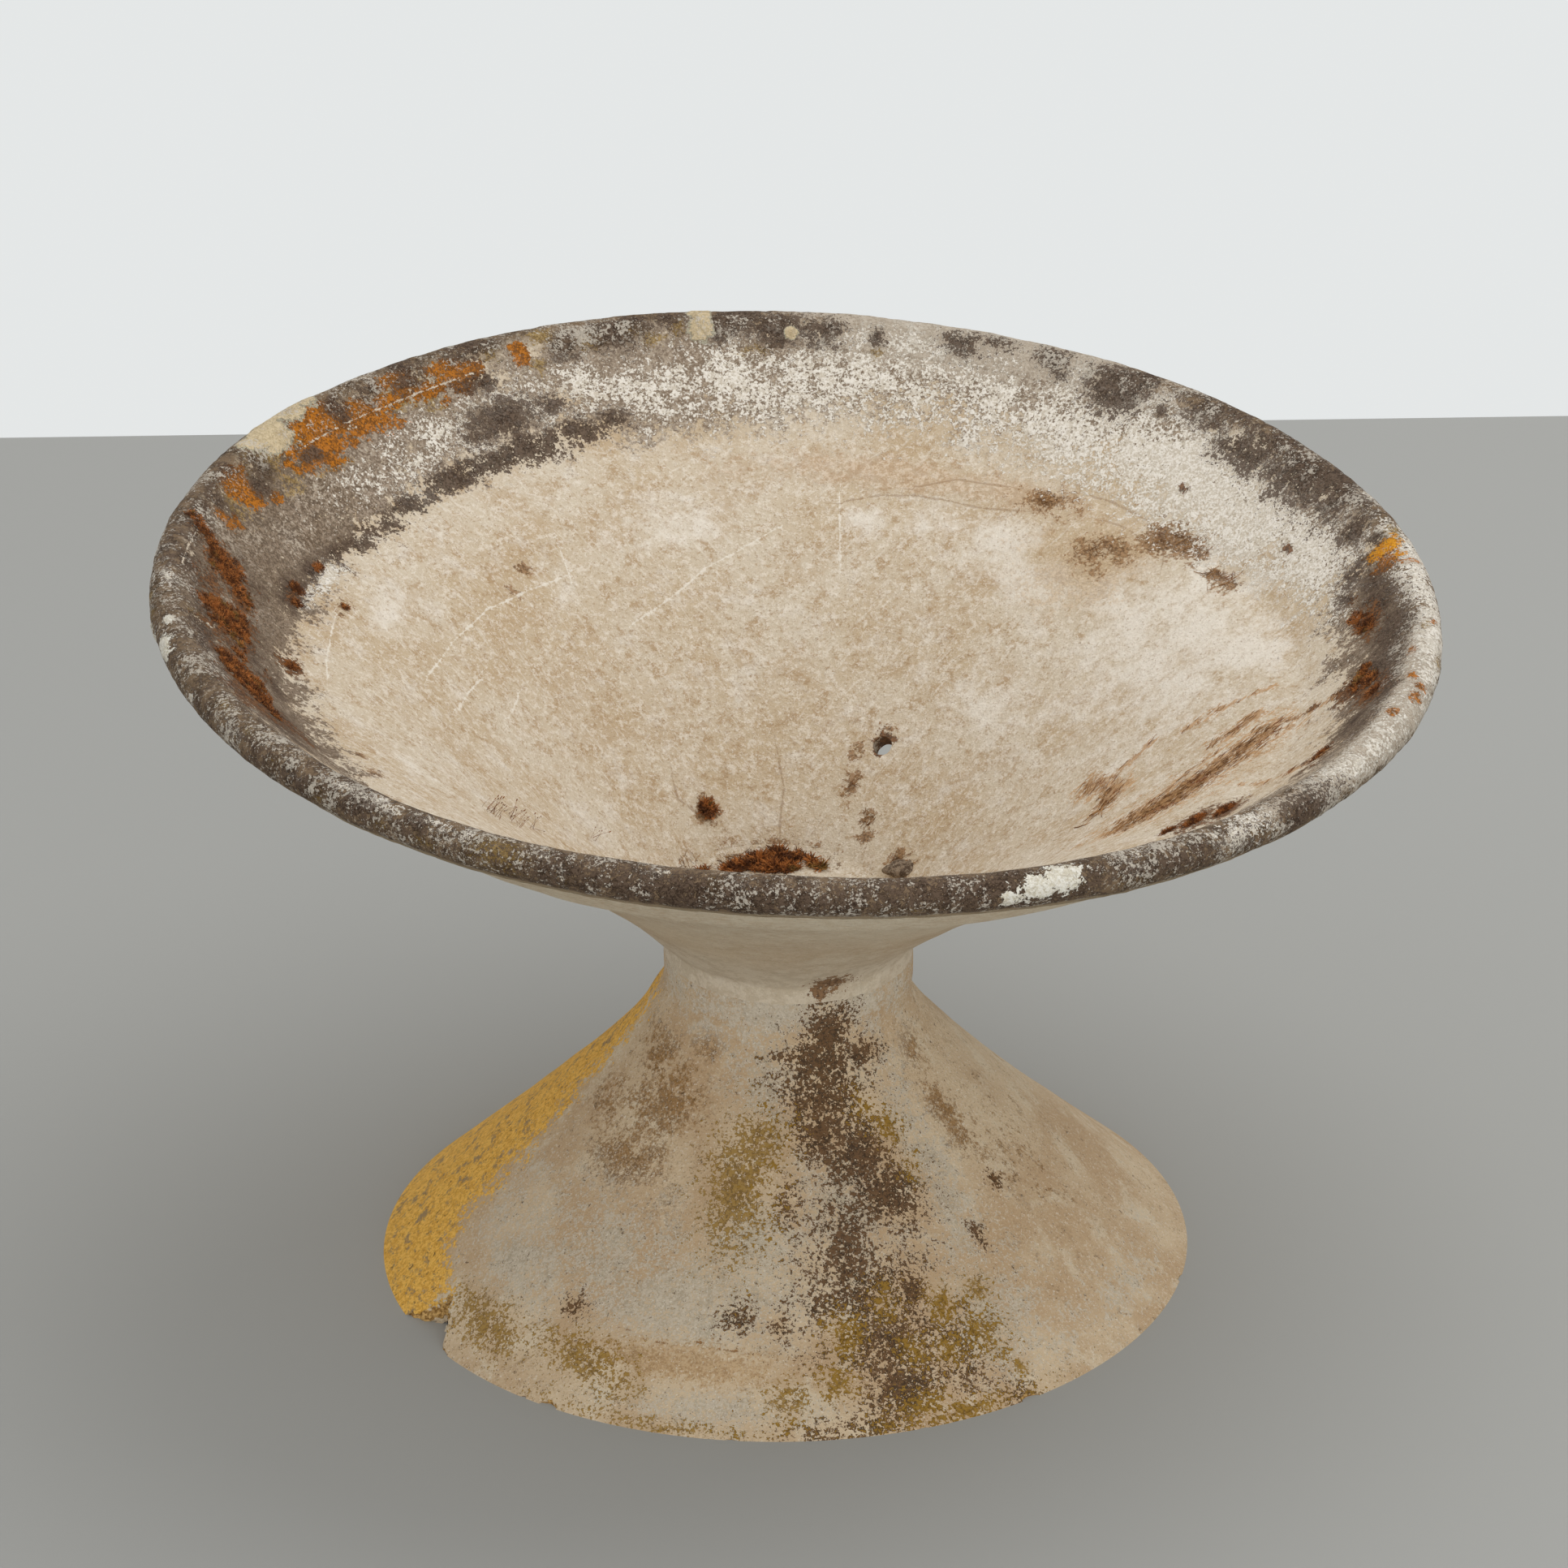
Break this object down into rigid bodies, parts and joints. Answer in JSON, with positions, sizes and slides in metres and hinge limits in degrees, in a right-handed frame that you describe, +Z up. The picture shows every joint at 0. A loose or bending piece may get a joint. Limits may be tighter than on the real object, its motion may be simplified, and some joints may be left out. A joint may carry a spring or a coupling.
{
  "type": "bowl planter",
  "caption": "Low hourglass floor planter of weathered fibre cement: a shallow bowl with a turned-up band and thick folded rim, set on a narrow neck and a hollow flared foot.",
  "frame": {"origin": "middle of the planter's overall outline, on the floor; the foot's own centre is 13 mm to the left of it and 9 mm behind it, because the bowl leans", "axes": "+Z up; -Y is the front, the side that the picture was taken from, and +X is to the right there"},
  "size_m": [0.7989, 0.7995, 0.4919],
  "materials": {
    "bowl_cement": "rough weathered fibre cement, cream and ochre",
    "rim_cement": "rough fibre cement under dark grey-brown lichen",
    "foot_cement": "rough weathered fibre cement, tan with stains",
    "mortar": "rough trowelled cement mortar",
    "moss": "dry brown moss and plant litter"
  },
  "bodies": {
    "root": {"bowl_shell": "bowl_cement", "rim_strip": "rim_cement", "throat_plug": "mortar", "neck_lining": "mortar", "foot_shell": "foot_cement"}
  },
  "joints": []
}
